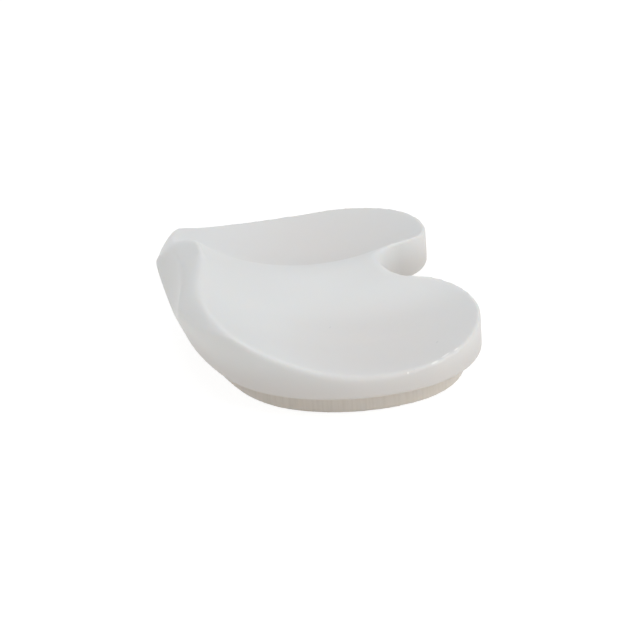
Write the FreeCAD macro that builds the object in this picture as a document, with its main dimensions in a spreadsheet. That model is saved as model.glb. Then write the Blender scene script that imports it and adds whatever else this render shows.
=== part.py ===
import FreeCAD, Part
import math
import os
import Sketcher

# Tibial insert: the plastic bearing of a total knee replacement, one moulded and machined piece.
# +X is medial-lateral, -Y is the front (anterior) with the raised lip, +Z points up to the thigh bone.
# The origin lies under the middle of the piece, on the underside of the plug.

V = FreeCAD.Vector
doc = FreeCAD.newDocument("TibialInsert")

# Driving sizes, in millimetres and degrees.
sizes = doc.addObject("Spreadsheet::Sheet", "Sizes")
ROWS = [
    # plan outline of the body where it meets the plug; a turn is the heading at which an arc ends
    ("half_width", 37.0),
    ("widest_y", 5.825),
    ("front_y", -23.975),
    ("rear_y", 26.835),
    ("front_turn", 18.37),
    ("corner_turn", 59.4),
    ("flank_radius", 31.55),
    ("split_turn", 80.0),
    ("lobe_radius", 18.52),
    ("notch_radius", 8.5),
    ("notch_y", 22.335),
    # plug that drops into the tray
    ("plug_height", 4.25),
    ("plug_inset", 3.2),
    ("plug_chamfer", 0.4),
    # the front wall leans out over the plug
    ("lean_height", 20.0),
    ("lean_reach", 8.16),
    ("top_front_turn", 16.91),
    ("top_corner_turn", 45.46),
    ("top_flank_radius", 43.98),
    # bearing surface: dishes and ridge each rise to the front and the rear along an arc of their own
    ("dish_x", 19.12),
    ("dish_height", 6.7),
    ("dish_arc_y", 7.095),
    ("dish_arc_radius", 48.65),
    ("dish_inner_radius", 16.39),
    ("dish_outer_radius", 88.27),
    ("ridge_height", 12.0),
    ("ridge_arc_y", 3.695),
    ("ridge_arc_radius", 33.6),
    ("bearing_front", -25.9),
    ("bearing_step", 10.8),
    ("bearing_margin", 5.0),
    ("bearing_top", 34.0),
    # top of the front lip, between two sections
    ("lip_back_y", 17.065),
    ("lip_back_top", 23.22),
    ("lip_back_radius", 69.57),
    ("lip_back_fillet", 6.69),
    ("lip_back_end", 15.91),
    ("lip_back_slope", 2.92),
    ("lip_front_y", 28.065),
    ("lip_front_top", 17.43),
    ("lip_front_radius", 14.6),
    ("lip_front_fillet", 1.5),
    ("lip_front_end", 18.12),
    ("lip_front_slope", 6.9),
    ("lip_run_out", 8.0),
    ("lip_margin", 8.0),
    ("lip_cap", 40.0),
    # relief for the knee-cap tendon in the middle of the lip
    ("relief_radius", 33.98),
    ("relief_foot_y", 25.855),
    ("relief_foot_height", 10.59),
    ("relief_tilt", 11.23),
    ("relief_below", 10.0),
    ("relief_above", 16.0),
    ("relief_depth", 12.0),
    # edges
    ("edge_break", 0.3),
]
for number, (alias, value) in enumerate(ROWS, start=1):
    sizes.set("A%d" % number, alias)
    sizes.set("B%d" % number, str(value))
    sizes.setAlias("B%d" % number, alias)
doc.recompute()
S = dict(ROWS)

body = doc.addObject("PartDesign::Body", "Insert")
body.Label = "tibial_insert"


def origin_plane(role):
    return next(f for f in body.Origin.OriginFeatures if f.Role == role)


def new_sketch(name, role):
    sketch = body.newObject("Sketcher::SketchObject", name)
    sketch.AttachmentSupport = [(origin_plane(role), "")]
    sketch.MapMode = "FlatFace"
    return sketch


def tie(sketch, kind, *refs):
    return sketch.addConstraint(Sketcher.Constraint(kind, *refs))


def dim(sketch, kind, refs, value, expression, name):
    index = tie(sketch, kind, *refs, value)
    sketch.renameConstraint(index, name)
    sketch.setExpression("Constraints." + name, expression)


def arc(cx, cy, radius, start, end):
    circle = Part.Circle(V(cx, cy, 0), V(0, 0, 1), radius)
    return Part.ArcOfCircle(circle, math.radians(start), math.radians(end))


def front_arcs(front_y, front_turn, corner_turn, near_radius):
    # Radii of the front and corner arcs, so that the chain of arcs reaches the widest point.
    turns = [math.radians(t) for t in (front_turn, corner_turn, S["split_turn"])]
    s1, s2, s3 = (math.sin(t) for t in turns)
    c1, c2, c3 = (math.cos(t) for t in turns)
    wide = S["half_width"] - near_radius * (s3 - s2) - S["flank_radius"] * (1 - s3)
    deep = S["widest_y"] - front_y - near_radius * (c2 - c3) - S["flank_radius"] * c3
    whole = s1 * (c1 - c2) - (s2 - s1) * (1 - c1)
    front = (wide * (c1 - c2) - deep * (s2 - s1)) / whole
    corner = (s1 * deep - (1 - c1) * wide) / whole
    return front, corner


def outline(name, front_y, front_turn, corner_turn, near_radius, inset, words):
    # Closed plan outline. Heading 0 runs along +X at the front, 90 along +Y at the side.
    sketch = new_sketch(name, "XY_Plane")
    front_r, corner_r = front_arcs(front_y, front_turn, corner_turn, near_radius)
    split = math.radians(S["split_turn"])
    turn = math.radians(front_turn)
    side_c = (S["half_width"] - S["flank_radius"], S["widest_y"])
    near_c = (side_c[0] + (S["flank_radius"] - near_radius) * math.sin(split),
              side_c[1] - (S["flank_radius"] - near_radius) * math.cos(split))
    front_c = (0.0, front_y + front_r)
    corner_c = ((front_r - corner_r) * math.sin(turn),
                front_c[1] - (front_r - corner_r) * math.cos(turn))
    flank = S["flank_radius"] - inset
    lobe = S["lobe_radius"] - inset
    notch = S["notch_radius"] + inset
    lobe_cy = S["rear_y"] - inset - lobe
    lobe_cx = side_c[0] + math.sqrt((flank - lobe) ** 2 - (lobe_cy - side_c[1]) ** 2)
    lobe_turn = math.degrees(math.atan2(lobe_cx - side_c[0], side_c[1] - lobe_cy))
    # inner lobe arc, tangent to the lobe at the rear and to the notch
    rise = S["rear_y"] - inset - S["notch_y"]
    inner = (lobe_cx ** 2 + rise ** 2 - notch ** 2) / (2 * (notch + rise))
    inner_cy = S["rear_y"] - inset - inner
    touch = math.degrees(math.atan2(S["notch_y"] - inner_cy, -lobe_cx))
    right = [
        (corner_c[0], corner_c[1], corner_r - inset, front_turn - 90, corner_turn - 90),
        (near_c[0], near_c[1], near_radius - inset, corner_turn - 90, S["split_turn"] - 90),
        (side_c[0], side_c[1], flank, S["split_turn"] - 90, lobe_turn - 90),
        (lobe_cx, lobe_cy, lobe, lobe_turn - 90, 90),
        (lobe_cx, inner_cy, inner, 90, touch),
    ]
    shapes = [arc(front_c[0], front_c[1], front_r - inset, -90 - front_turn, -90 + front_turn)]
    shapes += [arc(*one) for one in right]
    shapes.append(arc(0, S["notch_y"], notch, 360 - touch, 180 + touch))
    shapes += [arc(-x, y, r, 180 - e, 180 - s) for x, y, r, s, e in reversed(right)]
    sketch.addGeometry(shapes, False)
    sketch.addGeometry([Part.Point(V(0, front_y + inset, 0))], True)
    for one in range(5):
        tie(sketch, "Tangent", one, 2, one + 1, 1)
    tie(sketch, "Tangent", 5, 2, 6, 2)
    tie(sketch, "Coincident", 6, 1, 7, 1)
    for one in range(7, 11):
        tie(sketch, "Coincident", one, 2, one + 1, 1)
    tie(sketch, "Coincident", 11, 2, 0, 1)
    for one in range(1, 5):
        tie(sketch, "Symmetric", one, 2, 12 - one, 1, -2)
        tie(sketch, "Equal", one, 12 - one)
    tie(sketch, "Equal", 5, 7)
    tie(sketch, "Symmetric", 0, 1, 0, 2, -2)
    tie(sketch, "Symmetric", 6, 1, 6, 2, -2)
    tie(sketch, "Vertical", 4, 3, 5, 3)
    tie(sketch, "PointOnObject", 12, 1, 0)
    tie(sketch, "PointOnObject", 12, 1, -2)
    less = " - Sizes.plug_inset" if inset else ""
    more = " + Sizes.plug_inset" if inset else ""
    dim(sketch, "DistanceY", (12, 1, -1, 1), -front_y - inset, "-(" + words[0] + more + ")", "front_y")
    dim(sketch, "Angle", (0,), math.radians(2 * front_turn), "2 * " + words[1] + " * 1 deg", "front_span")
    dim(sketch, "Angle", (1,), math.radians(corner_turn - front_turn),
        "(" + words[2] + " - " + words[1] + ") * 1 deg", "corner_span")
    dim(sketch, "Radius", (2,), near_radius - inset, words[3] + less, "near_radius")
    dim(sketch, "Radius", (3,), flank, "Sizes.flank_radius" + less, "flank_radius")
    dim(sketch, "Radius", (4,), lobe, "Sizes.lobe_radius" + less, "lobe_radius")
    dim(sketch, "Radius", (6,), notch, "Sizes.notch_radius" + more, "notch_radius")
    dim(sketch, "DistanceX", (-1, 1, 3, 3), side_c[0], "Sizes.half_width - Sizes.flank_radius", "side_x")
    dim(sketch, "DistanceY", (-1, 1, 3, 3), side_c[1], "Sizes.widest_y", "side_y")
    dim(sketch, "DistanceY", (-1, 1, 4, 3), lobe_cy, "Sizes.rear_y - Sizes.lobe_radius", "lobe_y")
    dim(sketch, "DistanceY", (-1, 1, 6, 3), S["notch_y"], "Sizes.notch_y", "notch_y")
    dim(sketch, "DistanceY", (3, 1, 3, 3), flank * math.cos(split),
        "(Sizes.flank_radius" + less + ") * cos(Sizes.split_turn * 1 deg)", "split")
    return sketch


# Plug: the body's outline drawn inwards, from the tray's floor up to the body.
low_words = ("Sizes.front_y", "Sizes.front_turn", "Sizes.corner_turn", "Sizes.flank_radius")
plug_sketch = outline("PlugOutline", S["front_y"], S["front_turn"], S["corner_turn"],
                      S["flank_radius"], S["plug_inset"], low_words)
plug = body.newObject("PartDesign::Pad", "Plug")
plug.Profile = plug_sketch
plug.Length = S["plug_height"]
plug.setExpression("Length", "Sizes.plug_height")
doc.recompute()

# Body: a ruled loft whose front wall leans outwards while the sides and the rear stay upright.
low_sketch = outline("BodyFoot", S["front_y"], S["front_turn"], S["corner_turn"],
                     S["flank_radius"], 0.0, low_words)
low_sketch.setExpression("AttachmentOffset.Base.z", "Sizes.plug_height")
top_words = ("(Sizes.front_y - Sizes.lean_reach)", "Sizes.top_front_turn",
             "Sizes.top_corner_turn", "Sizes.top_flank_radius")
top_sketch = outline("BodyTop", S["front_y"] - S["lean_reach"], S["top_front_turn"],
                     S["top_corner_turn"], S["top_flank_radius"], 0.0, top_words)
top_sketch.setExpression("AttachmentOffset.Base.z", "Sizes.plug_height + Sizes.lean_height")
doc.recompute()
block = body.newObject("PartDesign::AdditiveLoft", "Block")
block.Profile = low_sketch
block.Sections = [top_sketch]
block.Ruled = True
doc.recompute()
print("block volume", round(body.Shape.Volume, 1))


# Lip top: the material above two bell-shaped sections is lofted away, and the front one runs on
# past the wall.
def lip_section(name, top, radius, fillet, end, slope, words):
    sketch = new_sketch(name, "XZ_Plane")
    sketch.setExpression("AttachmentOffset.Base.z", words[0])
    reach = S["half_width"] + S["lip_margin"]
    cap = S["lip_cap"]
    tilt = math.radians(slope)
    crown_cy = top - radius
    # fillet centre: above the sloping line by its radius, and outside the crown by both radii
    near, far = 0.0, reach
    for _ in range(80):
        cx = (near + far) / 2
        cz = end - (reach - cx) * math.tan(tilt) + fillet / math.cos(tilt)
        if math.hypot(cx, cz - crown_cy) < radius + fillet:
            near = cx
        else:
            far = cx
    meet = math.degrees(math.atan2(cz - crown_cy, cx))
    foot_x = cx + fillet * math.sin(tilt)
    foot_z = cz - fillet * math.cos(tilt)
    sketch.addGeometry([
        arc(0, crown_cy, radius, meet, 180 - meet),
        arc(cx, cz, fillet, 180 + meet, 270 + slope),
        Part.LineSegment(V(foot_x, foot_z, 0), V(reach, end, 0)),
        Part.LineSegment(V(reach, end, 0), V(reach, cap, 0)),
        Part.LineSegment(V(reach, cap, 0), V(-reach, cap, 0)),
        Part.LineSegment(V(-reach, cap, 0), V(-reach, end, 0)),
        Part.LineSegment(V(-reach, end, 0), V(-foot_x, foot_z, 0)),
        arc(-cx, cz, fillet, 270 - slope, 360 - meet),
    ], False)
    tie(sketch, "Tangent", 0, 1, 1, 1)
    tie(sketch, "Tangent", 1, 2, 2, 1)
    for one in range(2, 7):
        tie(sketch, "Coincident", one, 2, one + 1, 1)
    tie(sketch, "Coincident", 7, 2, 0, 2)
    tie(sketch, "Vertical", 3)
    tie(sketch, "Symmetric", 0, 1, 0, 2, -2)
    tie(sketch, "Symmetric", 1, 2, 7, 1, -2)
    tie(sketch, "Symmetric", 2, 2, 5, 2, -2)
    tie(sketch, "Symmetric", 3, 2, 4, 2, -2)
    tie(sketch, "Equal", 1, 7)
    dim(sketch, "Radius", (0,), radius, words[1], "crown_radius")
    dim(sketch, "Radius", (1,), fillet, words[2], "fillet_radius")
    dim(sketch, "DistanceY", (-1, 1, 2, 2), end, words[3], "end_height")
    dim(sketch, "DistanceX", (-1, 1, 2, 2), reach, "Sizes.half_width + Sizes.lip_margin", "reach")
    dim(sketch, "DistanceY", (-1, 1, 3, 2), cap, "Sizes.lip_cap", "cap")
    dim(sketch, "DistanceY", (0, 3, -1, 1), -crown_cy, words[1] + " - " + words[4], "crown_centre")
    dim(sketch, "Angle", (-1, 1, 2, 1), tilt, words[5] + " * 1 deg", "slope")
    return sketch


back_section = lip_section("LipBack", S["lip_back_top"], S["lip_back_radius"],
                           S["lip_back_fillet"], S["lip_back_end"], S["lip_back_slope"],
                           ("Sizes.lip_back_y", "Sizes.lip_back_radius", "Sizes.lip_back_fillet",
                            "Sizes.lip_back_end", "Sizes.lip_back_top", "Sizes.lip_back_slope"))
front_sections = [
    lip_section(name, S["lip_front_top"], S["lip_front_radius"],
                S["lip_front_fillet"], S["lip_front_end"], S["lip_front_slope"],
                (place, "Sizes.lip_front_radius", "Sizes.lip_front_fillet",
                 "Sizes.lip_front_end", "Sizes.lip_front_top", "Sizes.lip_front_slope"))
    for name, place in [["LipFront", "Sizes.lip_front_y"],
                        ["LipRunOut", "Sizes.lip_front_y + Sizes.lip_run_out"]]
]
doc.recompute()
before = body.Shape.Volume
lip = body.newObject("PartDesign::SubtractiveLoft", "LipTop")
lip.Profile = back_section
lip.Sections = front_sections
lip.Ruled = True
doc.recompute()
print("lip top took", round(before - body.Shape.Volume, 1))


# Bearing surface: a smooth loft cuts it through profiles of ridge and two dishes, each a chain of
# tangent arcs. The dishes' floor and the ridge's top follow two arcs seen from the side.
def height_on_arc(low, radius, middle, y):
    return low + radius - math.sqrt(radius ** 2 - (y - middle) ** 2)


def bearing_section(number):
    sketch = new_sketch("Bearing%d" % number, "XZ_Plane")
    place = "(Sizes.bearing_front + %d * Sizes.bearing_step)" % number
    sketch.setExpression("AttachmentOffset.Base.z", "-" + place)
    y = S["bearing_front"] + number * S["bearing_step"]
    floor = height_on_arc(S["dish_height"], S["dish_arc_radius"], S["dish_arc_y"], y)
    crest = height_on_arc(S["ridge_height"], S["ridge_arc_radius"], S["ridge_arc_y"], y)
    dish_x, inner_r, outer_r = S["dish_x"], S["dish_inner_radius"], S["dish_outer_radius"]
    reach = S["half_width"] + S["bearing_margin"]
    top = S["bearing_top"]
    drop = floor + inner_r - crest
    crown_r = (dish_x ** 2 + drop ** 2 - inner_r ** 2) / (2 * (inner_r - drop))
    crown_cy = crest - crown_r
    lean = math.degrees(math.atan2(floor + inner_r - crown_cy, dish_x))
    swing = math.degrees(math.asin((reach - dish_x) / outer_r))
    end = floor + outer_r - outer_r * math.cos(math.radians(swing))
    sketch.addGeometry([
        arc(0, crown_cy, crown_r, lean, 180 - lean),
        arc(dish_x, floor + inner_r, inner_r, 180 + lean, 270),
        arc(dish_x, floor + outer_r, outer_r, 270, 270 + swing),
        Part.LineSegment(V(reach, end, 0), V(reach, top, 0)),
        Part.LineSegment(V(reach, top, 0), V(-reach, top, 0)),
        Part.LineSegment(V(-reach, top, 0), V(-reach, end, 0)),
        arc(-dish_x, floor + outer_r, outer_r, 270 - swing, 270),
        arc(-dish_x, floor + inner_r, inner_r, 270, 360 - lean),
    ], False)
    sketch.addGeometry([Part.Point(V(0, crest, 0))], True)
    tie(sketch, "Tangent", 0, 1, 1, 1)
    tie(sketch, "Tangent", 1, 2, 2, 1)
    for one in range(2, 7):
        tie(sketch, "Coincident", one, 2, one + 1, 1)
    tie(sketch, "Coincident", 7, 2, 0, 2)
    tie(sketch, "Vertical", 3)
    tie(sketch, "Vertical", 1, 3, 2, 3)
    tie(sketch, "Symmetric", 0, 1, 0, 2, -2)
    tie(sketch, "Symmetric", 1, 2, 7, 1, -2)
    tie(sketch, "Symmetric", 2, 2, 6, 1, -2)
    tie(sketch, "Symmetric", 3, 2, 4, 2, -2)
    tie(sketch, "Equal", 1, 7)
    tie(sketch, "Equal", 2, 6)
    tie(sketch, "PointOnObject", 8, 1, 0)
    tie(sketch, "PointOnObject", 8, 1, -2)
    rise = " + Sizes.%s_arc_radius - sqrt(Sizes.%s_arc_radius ^ 2 - (" + place + " - Sizes.%s_arc_y) ^ 2)"
    dim(sketch, "Radius", (1,), inner_r, "Sizes.dish_inner_radius", "inner_radius")
    dim(sketch, "Radius", (2,), outer_r, "Sizes.dish_outer_radius", "outer_radius")
    dim(sketch, "DistanceX", (-1, 1, 1, 3), dish_x, "Sizes.dish_x", "dish_x")
    dim(sketch, "DistanceY", (-1, 1, 1, 2), floor,
        "Sizes.dish_height" + rise % ("dish", "dish", "dish"), "dish_height")
    dim(sketch, "DistanceY", (-1, 1, 8, 1), crest,
        "Sizes.ridge_height" + rise % ("ridge", "ridge", "ridge"), "ridge_height")
    dim(sketch, "DistanceX", (-1, 1, 2, 2), reach, "Sizes.half_width + Sizes.bearing_margin", "reach")
    dim(sketch, "DistanceY", (-1, 1, 3, 2), top, "Sizes.bearing_top", "top")
    return sketch


bearing_sections = [bearing_section(number) for number in range(6)]
doc.recompute()
before = body.Shape.Volume
bearing = body.newObject("PartDesign::SubtractiveLoft", "Bearing")
bearing.Profile = bearing_sections[0]
bearing.Sections = bearing_sections[1:]
doc.recompute()
print("bearing took", round(before - body.Shape.Volume, 1))

# Tendon relief: a tilted round scoop in the middle of the lip.
scoop = new_sketch("ReliefProfile", "YZ_Plane")
tilt = math.radians(S["relief_tilt"])
along = (math.sin(tilt), math.cos(tilt))
out = (-math.cos(tilt), math.sin(tilt))
foot = (-S["relief_foot_y"], S["relief_foot_height"])


def relief_point(up, away):
    return V(foot[0] + along[0] * up + out[0] * away, foot[1] + along[1] * up + out[1] * away, 0)


low, high, far = -S["relief_below"], S["relief_above"], S["relief_depth"]
scoop.addGeometry([
    Part.LineSegment(relief_point(low, 0), relief_point(high, 0)),
    Part.LineSegment(relief_point(high, 0), relief_point(high, far)),
    Part.LineSegment(relief_point(high, far), relief_point(low, far)),
    Part.LineSegment(relief_point(low, far), relief_point(low, 0)),
], False)
scoop.addGeometry([
    Part.Point(relief_point(0, 0)),
    Part.LineSegment(relief_point(low, S["relief_radius"]), relief_point(high, S["relief_radius"])),
], True)
for one in range(3):
    tie(scoop, "Coincident", one, 2, one + 1, 1)
    tie(scoop, "Perpendicular", one, one + 1)
tie(scoop, "Coincident", 3, 2, 0, 1)
tie(scoop, "PointOnObject", 4, 1, 0)
tie(scoop, "Parallel", 0, 5)
tie(scoop, "Equal", 0, 5)
tie(scoop, "PointOnObject", 5, 1, 3)
dim(scoop, "DistanceX", (4, 1, -1, 1), S["relief_foot_y"], "Sizes.relief_foot_y", "foot_y")
dim(scoop, "DistanceY", (-1, 1, 4, 1), S["relief_foot_height"], "Sizes.relief_foot_height", "foot_height")
dim(scoop, "Angle", (-1, 1, 0, 1), math.pi / 2 - tilt, "90 deg - Sizes.relief_tilt * 1 deg", "tilt")
dim(scoop, "Distance", (4, 1, 0, 1), S["relief_below"], "Sizes.relief_below", "below")
dim(scoop, "Distance", (4, 1, 0, 2), S["relief_above"], "Sizes.relief_above", "above")
dim(scoop, "Distance", (1, 1, 1, 2), S["relief_depth"], "Sizes.relief_depth", "depth")
dim(scoop, "Distance", (0, 1, 5, 1), S["relief_radius"], "Sizes.relief_radius", "radius")
doc.recompute()
before = body.Shape.Volume
relief = body.newObject("PartDesign::Groove", "Relief")
relief.Profile = scoop
relief.ReferenceAxis = (scoop, ["Axis0"])
relief.Angle = 90.0
relief.Midplane = True
doc.recompute()
print("relief took", round(before - body.Shape.Volume, 1))


# Edge breaks: a narrow chamfer takes off every sharp edge of the upper body, and the plug's foot has
# a small lead-in.
def sharp_edges(shape, wanted):
    names = []
    for number, edge in enumerate(shape.Edges, start=1):
        faces = shape.ancestorsOfType(edge, Part.Face)
        if len(faces) != 2:
            continue
        middle = edge.valueAt((edge.FirstParameter + edge.LastParameter) / 2)
        if not wanted(middle.z):
            continue
        first, second = (f.normalAt(*f.Surface.parameter(middle)) for f in faces)
        if math.degrees(first.getAngle(second)) > 12.0:
            names.append("Edge%d" % number)
    return names


before = body.Shape.Volume
rims = body.newObject("PartDesign::Chamfer", "Rims")
rims.Base = (relief, sharp_edges(relief.Shape, lambda z: z > S["plug_height"] + 1.0))
rims.setExpression("Size", "Sizes.edge_break")
doc.recompute()
foot_break = body.newObject("PartDesign::Chamfer", "PlugFoot")
foot_break.Base = (rims, sharp_edges(rims.Shape, lambda z: z < 0.01))
foot_break.setExpression("Size", "Sizes.plug_chamfer")
doc.recompute()
print("edge breaks took", round(before - body.Shape.Volume, 2))

# Nothing is written unless every feature built.
doc.recompute()
for thing in doc.Objects:
    if "Invalid" in thing.State or "Error" in thing.State:
        raise RuntimeError("%s failed: %s" % (thing.Name, thing.State))
shape = body.Shape
if shape.isNull() or not shape.isValid() or len(shape.Solids) != 1:
    raise RuntimeError("the insert is not one valid solid")
box = shape.optimalBoundingBox(False, False)
print("solid", round(shape.Volume, 1), "mm3, X", round(box.XMin, 3), round(box.XMax, 3),
      "Y", round(box.YMin, 3), round(box.YMax, 3), "Z", round(box.ZMin, 3), round(box.ZMax, 3))
os.makedirs("parts", exist_ok=True)
shape.exportStep("parts/tibial_insert.step")
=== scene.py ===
# %% [markdown]
# # A tibial insert, dressed from its CAD frame
# The object is the plastic bearing of a total knee replacement: one block of ultra-high-molecular-weight
# polyethylene with two shallow dishes, a low ridge between them, a raised front lip and a stepped plug below.
# The CAD frame brings the exact form. This script gives it a smooth skin, its milky plastic with painted shade
# towards its foot, a few traces of the cutter and of handling with a painted highlight on one rim, and the
# pale studio that it was photographed in. Every size in it is a real one: lengths are written in millimetres
# and multiplied by MM.

# %% Frame and its bounds
import math
import bmesh
import bpy
from mathutils import Matrix, Vector


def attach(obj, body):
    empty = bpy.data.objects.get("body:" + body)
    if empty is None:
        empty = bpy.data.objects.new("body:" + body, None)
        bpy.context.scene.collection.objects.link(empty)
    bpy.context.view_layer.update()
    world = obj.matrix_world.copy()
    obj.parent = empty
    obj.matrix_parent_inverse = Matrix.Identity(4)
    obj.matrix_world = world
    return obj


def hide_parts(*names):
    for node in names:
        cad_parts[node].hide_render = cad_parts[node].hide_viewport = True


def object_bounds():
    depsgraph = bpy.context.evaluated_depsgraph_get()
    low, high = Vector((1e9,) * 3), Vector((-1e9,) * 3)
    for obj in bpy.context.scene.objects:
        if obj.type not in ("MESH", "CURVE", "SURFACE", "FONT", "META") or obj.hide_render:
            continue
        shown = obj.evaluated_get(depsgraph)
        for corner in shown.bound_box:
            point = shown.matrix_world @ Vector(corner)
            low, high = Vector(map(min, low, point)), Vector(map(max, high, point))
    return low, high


MM = 0.001
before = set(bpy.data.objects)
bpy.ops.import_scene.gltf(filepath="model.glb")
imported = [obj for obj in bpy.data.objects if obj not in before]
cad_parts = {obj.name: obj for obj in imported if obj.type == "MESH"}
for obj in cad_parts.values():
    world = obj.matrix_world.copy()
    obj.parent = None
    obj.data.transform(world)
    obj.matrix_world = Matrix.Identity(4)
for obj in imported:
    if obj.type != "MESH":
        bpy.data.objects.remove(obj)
bounds_at_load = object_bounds()
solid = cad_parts["tibial_insert"]
low, high = (Vector(corner) for corner in bounds_at_load)
print("insert, in mm:", [round(size / MM, 2) for size in high - low])

# %% [markdown]
# ## One helper for colour, one for nodes
# Colours are read off as sRGB hex values, the way a picture editor shows them, and Blender mixes light in
# linear values, so one function converts. The node helper adds a node, sets its sockets and makes its links
# in one call, which keeps every material below short enough to read as a list. A Mix node holds a socket of
# the same name for each kind of data, so sockets are looked up among those that are in use.

# %% Colour and node helpers
def linear(hex_colour):
    """A colour for Blender from an sRGB hex value, by the curve of the sRGB standard."""
    channels = []
    for place in (0, 2, 4):
        value = int(hex_colour[place:place + 2], 16) / 255
        channels.append(value / 12.92 if value <= 0.04045 else ((value + 0.055) / 1.055) ** 2.4)
    return (*channels, 1.0)


def socket(sockets, name):
    """The socket in use that has this name or number."""
    if isinstance(name, int):
        return sockets[name]
    return next(one for one in sockets if one.name == name and one.enabled)


def add_node(tree, kind, sockets=None, links=None, **settings):
    """A new node, with values for some of its sockets and links into others."""
    made = tree.nodes.new(kind)
    for name, value in settings.items():
        setattr(made, name, value)
    for name, value in (sockets or {}).items():
        socket(made.inputs, name).default_value = value
    for name, source in (links or {}).items():
        tree.links.new(source, socket(made.inputs, name))
    return made


print("middle grey 808080 in linear values:", round(linear("808080")[0], 3))

# %% [markdown]
# ## A skin of small even faces
# The edges of the real piece are not sharp: they roll over softly, some by a hair and some by a millimetre or
# two. A Bevel modifier could round them, but it wants clean edges between clean faces, and the frame's mesh is
# cut into long flat triangles. A skin that can be smoothed needs small even faces instead. So a copy of the
# solid has its doubled vertices merged, and a voxel remesh covers it with squares a third of a millimetre
# wide: fine enough for the smallest roll, and coarse enough to stay under 200,000 triangles.

# %% Even faces
MERGE_WITHIN = 0.002 * MM
VOXEL = 0.34 * MM


def settled(piece, name):
    """The piece's mesh with its modifiers applied, as a new mesh."""
    seen = piece.evaluated_get(bpy.context.evaluated_depsgraph_get())
    mesh = bpy.data.meshes.new_from_object(seen)
    mesh.name = name
    return mesh


crisp_mesh = solid.data.copy()
sheet = bmesh.new()
sheet.from_mesh(crisp_mesh)
bmesh.ops.remove_doubles(sheet, verts=sheet.verts, dist=MERGE_WITHIN)
sheet.to_mesh(crisp_mesh)
sheet.free()
skin = bpy.data.objects.new("insert_skin", crisp_mesh)
bpy.context.scene.collection.objects.link(skin)
cover = skin.modifiers.new("even faces", "REMESH")
cover.mode = "VOXEL"
cover.voxel_size = VOXEL
cover.use_smooth_shade = True
skin_mesh = settled(skin, "insert_skin")
skin.modifiers.clear()
skin.data = skin_mesh
print("skin:", len(skin_mesh.vertices), "vertices,", len(skin_mesh.polygons), "faces")

# %% [markdown]
# ## How far each edge rolls
# Smoothing passes roll an edge over, and more passes make a wider roll. The edges of the piece differ. The
# outer rim is well rounded beside the front half of each dish and crisper at the rear. The corners of the lip
# are round too. The lip runs down into the dishes, and the ridge down into the notch, without a line. All the
# rest has only a small break. Sculpting could do this by hand, but a vertex group for each roll gives the
# same result each time. It holds how much of the roll a vertex takes, from 0 to 1, as a product of ramps
# along the axes: each ramp names its axis, where it starts and where it is full, in mm. Both halves of the
# insert take the same rolls, so x counts from the middle plane.

# %% Edge rolls
ROLLS = {
    "every edge": (4, []),
    "front rims": (62, [("y", 12, 0), ("z", 6.5, 8.5), ("x", 15, 20)]),
    "lip corners": (28, [("x", 8, 11), ("x", 32, 26), ("y", -18, -20), ("z", 10, 12)]),
    "lip root": (156, [("x", 2, 6), ("x", 17, 12), ("y", -14, -17), ("y", -26, -24), ("z", 12, 14)]),
    "notch root": (156, [("y", 8, 10), ("y", 18, 14.5), ("z", 8, 10), ("x", 9, 7)]),
}
ROLL_STEP = 0.5


def share(place, ramps):
    """How much of a roll the skin takes at a place in mm, from 0 to 1."""
    product = 1.0
    for axis, start, full in ramps:
        product *= min(max((place[axis] - start) / (full - start), 0.0), 1.0)
    return product


for name, (passes, ramps) in ROLLS.items():
    group = skin.vertex_groups.new(name=name)
    taken = 0
    for vertex in skin_mesh.vertices:
        x, y, z = vertex.co / MM
        weight = share({"x": abs(x), "y": y, "z": z}, ramps)
        if weight > 0:
            group.add([vertex.index], weight, "REPLACE")
            taken += 1
    roll = skin.modifiers.new(name, "SMOOTH")
    roll.factor = ROLL_STEP
    roll.iterations = passes
    roll.vertex_group = group.name
    print(name, "roll:", passes, "passes over", taken, "vertices")
skin_mesh = settled(skin, "insert_skin")
skin.modifiers.clear()
skin.vertex_groups.clear()
skin.data = skin_mesh

# %% [markdown]
# ## Milky polyethylene, with painted shade towards the foot
# Ultra-high-molecular-weight polyethylene is naturally a milky white. In the photograph the dishes and the
# rims are the whitest, the wall turns a little darker and warmer towards its foot, and the plug is darker
# again and faintly brown. The lamps make part of that shade, and the rest is painted shade: of three tones,
# the first is the plastic's own white, and two ramps along the height blend in a darker, warmer tone towards
# the wall's foot and a darker, faintly brown one on the plug. A painted picture could do it too, but a ramp
# on Object coordinates needs no unwrapped map and holds at any distance.

# %% Whites of the plastic, and painted shade below
BODY_WHITE = "DCDDDC"
# Painted shade: the wall's tone darkens towards its foot, and the plug's tone is darker and faintly warm.
WALL_FOOT_PAINTED_SHADE = "D0CDCA"
PLUG_PAINTED_SHADE = "D6D0C8"
FOOT_TOP_MM = 4.25
WALL_TOP_MM = 12.0
STEP_BLUR_MM = 0.3

plastic = bpy.data.materials.new("milled polyethylene")
plastic.use_nodes = True
tree = plastic.node_tree
tree.nodes.clear()
place = add_node(tree, "ShaderNodeTexCoord")
height = add_node(tree, "ShaderNodeSeparateXYZ", links={0: place.outputs["Object"]})
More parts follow.
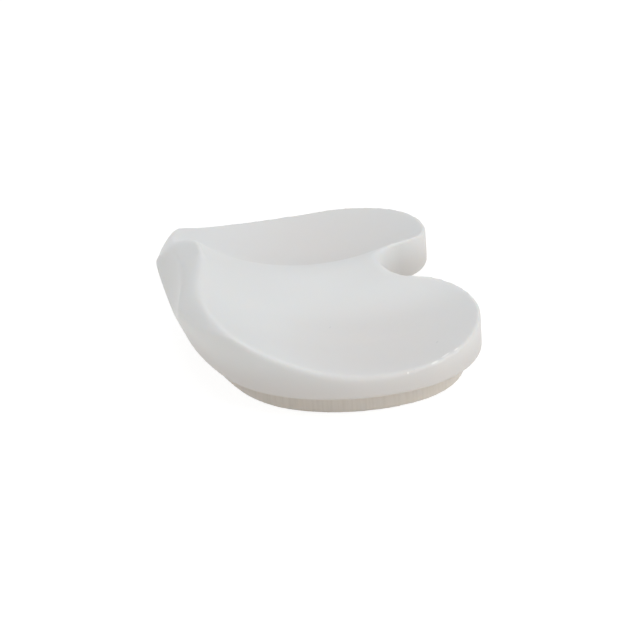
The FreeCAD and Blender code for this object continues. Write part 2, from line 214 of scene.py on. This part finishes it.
# Painted shade ramp: the wall's tone darkens from WALL_TOP_MM down to the foot, and the plug below takes a
# darker tone.
wall_shade_ramp = add_node(tree, "ShaderNodeMapRange", {
    "From Min": FOOT_TOP_MM * MM,
    "From Max": WALL_TOP_MM * MM,
}, {"Value": height.outputs["Z"]}, interpolation_type="SMOOTHSTEP")
in_plug = add_node(tree, "ShaderNodeMapRange", {
    "From Min": (FOOT_TOP_MM + STEP_BLUR_MM) * MM,
    "From Max": (FOOT_TOP_MM - STEP_BLUR_MM) * MM,
}, {"Value": height.outputs["Z"]})
body = add_node(tree, "ShaderNodeMix", {"A": linear(WALL_FOOT_PAINTED_SHADE), "B": linear(BODY_WHITE)},
                {"Factor": wall_shade_ramp.outputs["Result"]}, data_type="RGBA")
tone = add_node(tree, "ShaderNodeMix", {"B": linear(PLUG_PAINTED_SHADE)},
                {"Factor": in_plug.outputs["Result"], "A": socket(body.outputs, "Result")}, data_type="RGBA")
print("whites of body, wall and plug:", BODY_WHITE, WALL_FOOT_PAINTED_SHADE, PLUG_PAINTED_SHADE)

# %% [markdown]
# ## Traces of the cutter
# The plug's wall shows upright streaks about half a millimetre apart, as a side mill leaves them. Cutting each
# into the mesh would take millions of faces for a groove of a few hundredths of a millimetre. Noise that is
# stretched along Z draws them instead, as a faint change of tone and an even fainter relief.

# %% Cutter streaks
STREAK_MM = 0.5
STREAK_LENGTH_MM = 8.0
STREAK_TONE = "BDB6AB"
STREAK_SHARE = 0.3
STREAK_FROM, STREAK_FULL = 0.4, 0.8
STREAK_DEPTH_MM = 0.02
STREAK_RELIEF = 0.5

stretched = add_node(tree, "ShaderNodeMapping",
                     {"Scale": (STREAK_MM * MM, STREAK_MM * MM, STREAK_LENGTH_MM * MM)},
                     {"Vector": place.outputs["Object"]}, vector_type="TEXTURE")
streaks = add_node(tree, "ShaderNodeTexNoise", {"Scale": 1.0, "Detail": 1.0},
                   {"Vector": stretched.outputs["Vector"]})
streak_share = add_node(tree, "ShaderNodeMapRange", {
    "From Min": STREAK_FROM,
    "From Max": STREAK_FULL,
    "To Max": STREAK_SHARE,
}, {"Value": socket(streaks.outputs, "Fac")})
on_plug = add_node(tree, "ShaderNodeMath", links={0: streak_share.outputs["Result"],
                                                  1: in_plug.outputs["Result"]}, operation="MULTIPLY")
tone = add_node(tree, "ShaderNodeMix", {"B": linear(STREAK_TONE)},
                {"Factor": on_plug.outputs[0], "A": socket(tone.outputs, "Result")}, data_type="RGBA")
relief = add_node(tree, "ShaderNodeBump", {"Distance": STREAK_DEPTH_MM * MM, "Strength": STREAK_RELIEF},
                  {"Height": on_plug.outputs[0]})
print("streaks:", STREAK_MM, "mm wide and", STREAK_LENGTH_MM, "mm long")

# %% [markdown]
# ## Traces of handling, and a painted highlight on the rim
# The rim of one lobe has a nick and three whitened scuffs, and its dish two short scratches. The nick and the
# scuffs sit where the rim shows a bright line, so their light tone is partly wear and partly a painted
# highlight. Each mark is a small ellipsoid in space, given by its middle, its three half sizes and how far it
# is turned about Z, and the skin takes the mark's tone where it passes through. That puts a mark on the
# surface without a map of it.

# %% Handling marks and a painted highlight on the rim
# Painted highlight: the light tone of the nick and the scuffs along the rim is partly wear and partly a
# painted highlight.
SCUFF_AND_HIGHLIGHT = "F3F3F1"
SCRATCH = "BCBEBF"
MARKS = {
    "nick": ((36.8, 8.9, 8.2), (0.25, 0.25, 0.4), 0, SCUFF_AND_HIGHLIGHT),
    "first scuff highlight": ((35.5, 14.1, 8.7), (0.9, 0.25, 0.5), 115, SCUFF_AND_HIGHLIGHT),
    "second scuff highlight": ((34.0, 16.5, 8.9), (1.2, 0.28, 0.5), 125, SCUFF_AND_HIGHLIGHT),
    "third scuff highlight": ((32.9, 18.8, 9.2), (0.7, 0.22, 0.5), 125, SCUFF_AND_HIGHLIGHT),
    "scratch by the rim": ((26.9, 16.9, 8.1), (0.45, 0.11, 0.4), 139, SCRATCH),
    "scratch in the middle": ((14.1, 0.3, 8.2), (0.35, 0.11, 0.4), 139, SCRATCH),
}
MARK_FROM, MARK_FULL = 1.1, 0.6
MARK_SHARE = 0.8

for name, (middle, reach, turn_degrees, mark_tone) in MARKS.items():
    local = add_node(tree, "ShaderNodeMapping", {
        "Location": Vector(middle) * MM,
        "Rotation": (0.0, 0.0, math.radians(turn_degrees)),
        "Scale": Vector(reach) * MM,
    }, {"Vector": place.outputs["Object"]}, vector_type="TEXTURE", label=name)
    distance = add_node(tree, "ShaderNodeVectorMath", links={0: local.outputs["Vector"]}, operation="LENGTH")
    inside = add_node(tree, "ShaderNodeMapRange", {
        "From Min": MARK_FROM,
        "From Max": MARK_FULL,
        "To Max": MARK_SHARE,
    }, {"Value": distance.outputs["Value"]})
    tone = add_node(tree, "ShaderNodeMix", {"B": linear(mark_tone)},
                    {"Factor": inside.outputs["Result"], "A": socket(tone.outputs, "Result")},
                    data_type="RGBA")
print("marks:", ", ".join(MARKS))

# %% [markdown]
# ## Light inside the plastic, and its satin face
# This plastic is white because light scatters a millimetre or so inside it before it comes out again, red
# light the farthest. That softens every shadow line and lets thin rims glow a little. So the shader gets a
# share of subsurface light, with a depth in real millimetres: more of it would draw a bright line along each
# rim. The faces look milled and never polished, which gives a broad satin gloss. The refractive index of
# polyethylene is about 1.5.

# %% Shader, and the skin on its body
SCATTER_MM = (1.0, 0.75, 0.55)

surface = add_node(tree, "ShaderNodeBsdfPrincipled", {
    "Roughness": 0.42,
    "IOR": 1.5,
    "Specular IOR Level": 0.4,
    "Subsurface Weight": 0.4,
    "Subsurface Radius": SCATTER_MM,
    "Subsurface Scale": MM,
}, {"Base Color": socket(tone.outputs, "Result"), "Normal": relief.outputs["Normal"]})
add_node(tree, "ShaderNodeOutputMaterial", links={"Surface": surface.outputs["BSDF"]})
skin_mesh.materials.clear()
skin_mesh.materials.append(plastic)
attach(skin, "root")
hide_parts("tibial_insert")
print("nodes in the plastic:", len(tree.nodes))

# %% [markdown]
# ## A pale floor that reads as white
# The photograph has a clean white ground. More light on the table would get there, but it would also bleach
# the insert. So the floor is a real surface that catches the insert's soft shadow, and part of its white is
# its own light, which only the camera sees, or a gloss that mirrors it. All other rays meet a plain, nearly
# white table, and the light that it throws back up keeps the plug and the foot of the wall from going dark.
# The floor's own light is no lamp, so it is not sampled as one.

# %% Floor
FLOOR_SIZE = 3.0
FLOOR_GAP = 0.02 * MM
FLOOR_SEEN = 0.86
FLOOR_PAINT = "8A8A88"
FLOOR_BOUNCE = "F0ECE6"


def background_rays(tree):
    """1 for rays that are to see the white ground: from the camera, off a gloss or through a glass."""
    rays = add_node(tree, "ShaderNodeLightPath")
    seen = add_node(tree, "ShaderNodeMath", links={0: rays.outputs["Is Camera Ray"],
                                                   1: rays.outputs["Is Glossy Ray"]}, operation="MAXIMUM")
    seen_through = add_node(tree, "ShaderNodeMath", links={0: seen.outputs[0],
                                                           1: rays.outputs["Is Transmission Ray"]},
                            operation="MAXIMUM")
    return seen_through.outputs[0]


bpy.ops.mesh.primitive_plane_add(size=FLOOR_SIZE, location=(0.0, 0.0, low.z - FLOOR_GAP))
floor = bpy.context.object
floor.name = "floor"
ground = bpy.data.materials.new("white table")
ground.use_nodes = True
tree = ground.node_tree
tree.nodes.clear()
own_light = add_node(tree, "ShaderNodeEmission", {"Color": linear("FFFFFF"), "Strength": FLOOR_SEEN})
paint = add_node(tree, "ShaderNodeBsdfDiffuse", {"Color": linear(FLOOR_PAINT)})
shown = add_node(tree, "ShaderNodeAddShader", links={0: own_light.outputs[0], 1: paint.outputs[0]})
bounced = add_node(tree, "ShaderNodeBsdfDiffuse", {"Color": linear(FLOOR_BOUNCE)})
table = add_node(tree, "ShaderNodeMixShader", links={0: background_rays(tree), 1: bounced.outputs[0],
                                                     2: shown.outputs[0]})
add_node(tree, "ShaderNodeOutputMaterial", links={"Surface": table.outputs[0]})
ground.cycles.emission_sampling = "NONE"
floor.data.materials.append(ground)
print("floor:", FLOOR_SIZE, "m wide,", round(FLOOR_GAP / MM, 3), "mm under the plug")

# %% [markdown]
# ## The sky
# A white room stands round the table. The camera sees it as plain white, where a strength of 1 is white. As
# light it is much weaker and slightly blue, like daylight from a window, and fills the shadows evenly.

# %% Sky
SKY_LEVEL = 0.30
SKY_TINT = "F8FAFF"

world = bpy.data.worlds.new("studio")
world.use_nodes = True
bpy.context.scene.world = world
tree = world.node_tree
tree.nodes.clear()
sky = add_node(tree, "ShaderNodeBackground", {"Color": linear(SKY_TINT), "Strength": SKY_LEVEL})
white = add_node(tree, "ShaderNodeBackground", {"Color": linear("FFFFFF"), "Strength": 1.0})
room = add_node(tree, "ShaderNodeMixShader", links={0: background_rays(tree), 1: sky.outputs[0],
                                                    2: white.outputs[0]})
add_node(tree, "ShaderNodeOutputWorld", links={"Surface": room.outputs[0]})
print("sky:", SKY_TINT, "at", SKY_LEVEL)

# %% [markdown]
# ## Soft light from five boxes
# The dishes have no hard highlight, so wide soft boxes light the insert. A picture of a real room could light
# it as well, but a box can be moved and dimmed by itself. The strongest stands at the rear right and lifts
# the ridge's near flank and the rear lobes. One in front lights the lip, one overhead the floors of the
# dishes, one on the far side the near dish, and a small low one beside the camera keeps the long wall from
# sinking into its own shadow. Each is given by its azimuth, its elevation, its width in metres and its watts.

# %% Soft boxes
BOX_DISTANCE = 0.9
SOFT_BOXES = {
    "rear right box": (145.0, 32.0, 0.6, 4.0),
    "front box": (0.0, 38.0, 0.6, 2.1),
    "overhead box": (0.0, 89.0, 0.6, 1.3),
    "far side box": (258.0, 40.0, 0.6, 0.9),
    "low box": (85.0, 9.0, 0.3, 1.3),
}


def on_sphere(azimuth, elevation):
    """A direction: azimuth turns from the front (-Y) towards the camera's side (+X)."""
    return Vector((math.cos(elevation) * math.sin(azimuth),
                   -math.cos(elevation) * math.cos(azimuth),
                   math.sin(elevation)))


for name, (azimuth, elevation, width, watts) in SOFT_BOXES.items():
    lamp_data = bpy.data.lights.new(name, "AREA")
    lamp_data.shape = "SQUARE"
    lamp_data.size = width
    lamp_data.energy = watts
    lamp = bpy.data.objects.new(name, lamp_data)
    bpy.context.scene.collection.objects.link(lamp)
    towards = on_sphere(math.radians(azimuth), math.radians(elevation))
    lamp.location = towards * BOX_DISTANCE
    lamp.rotation_euler = (-towards).to_track_quat("-Z", "Y").to_euler()
    print(name, "at", [round(metres, 2) for metres in lamp.location])

# %% [markdown]
# ## The camera
# The photograph looks at the insert from its side, nearly a quarter turn from the front and 26 degrees above
# the table, through a long lens and with the picture turned by four degrees. Azimuth and elevation place the
# camera on a sphere round the aim point, and the roll turns it about its own line of sight. A constraint could
# aim it, but a matrix of its three axes holds the roll as well.

# %% Camera
AZIMUTH = math.radians(78.42)
ELEVATION = math.radians(25.92)
ROLL = math.radians(-4.11)
DISTANCE = 519.5 * MM
AIM = Vector((0.62, 1.31, 3.08)) * MM
LENS_MM = 156.8
SENSOR_MM = 36.0
NEAREST = 10 * MM

back = on_sphere(AZIMUTH, ELEVATION)
level = Vector((math.cos(AZIMUTH), math.sin(AZIMUTH), 0.0))
upright = back.cross(level)
right = level * math.cos(ROLL) + upright * math.sin(ROLL)
up = upright * math.cos(ROLL) - level * math.sin(ROLL)
turn = Matrix((right, up, back)).transposed()

camera_data = bpy.data.cameras.new("camera")
camera_data.lens = LENS_MM
camera_data.sensor_width = SENSOR_MM
camera_data.clip_start = NEAREST
camera = bpy.data.objects.new("camera", camera_data)
bpy.context.scene.collection.objects.link(camera)
camera.matrix_world = Matrix.Translation(AIM + back * DISTANCE) @ turn.to_4x4()
bpy.context.scene.camera = camera
bpy.context.scene.view_settings.view_transform = "Standard"
print("camera at, in mm:", [round(metres / MM, 1) for metres in camera.matrix_world.translation])
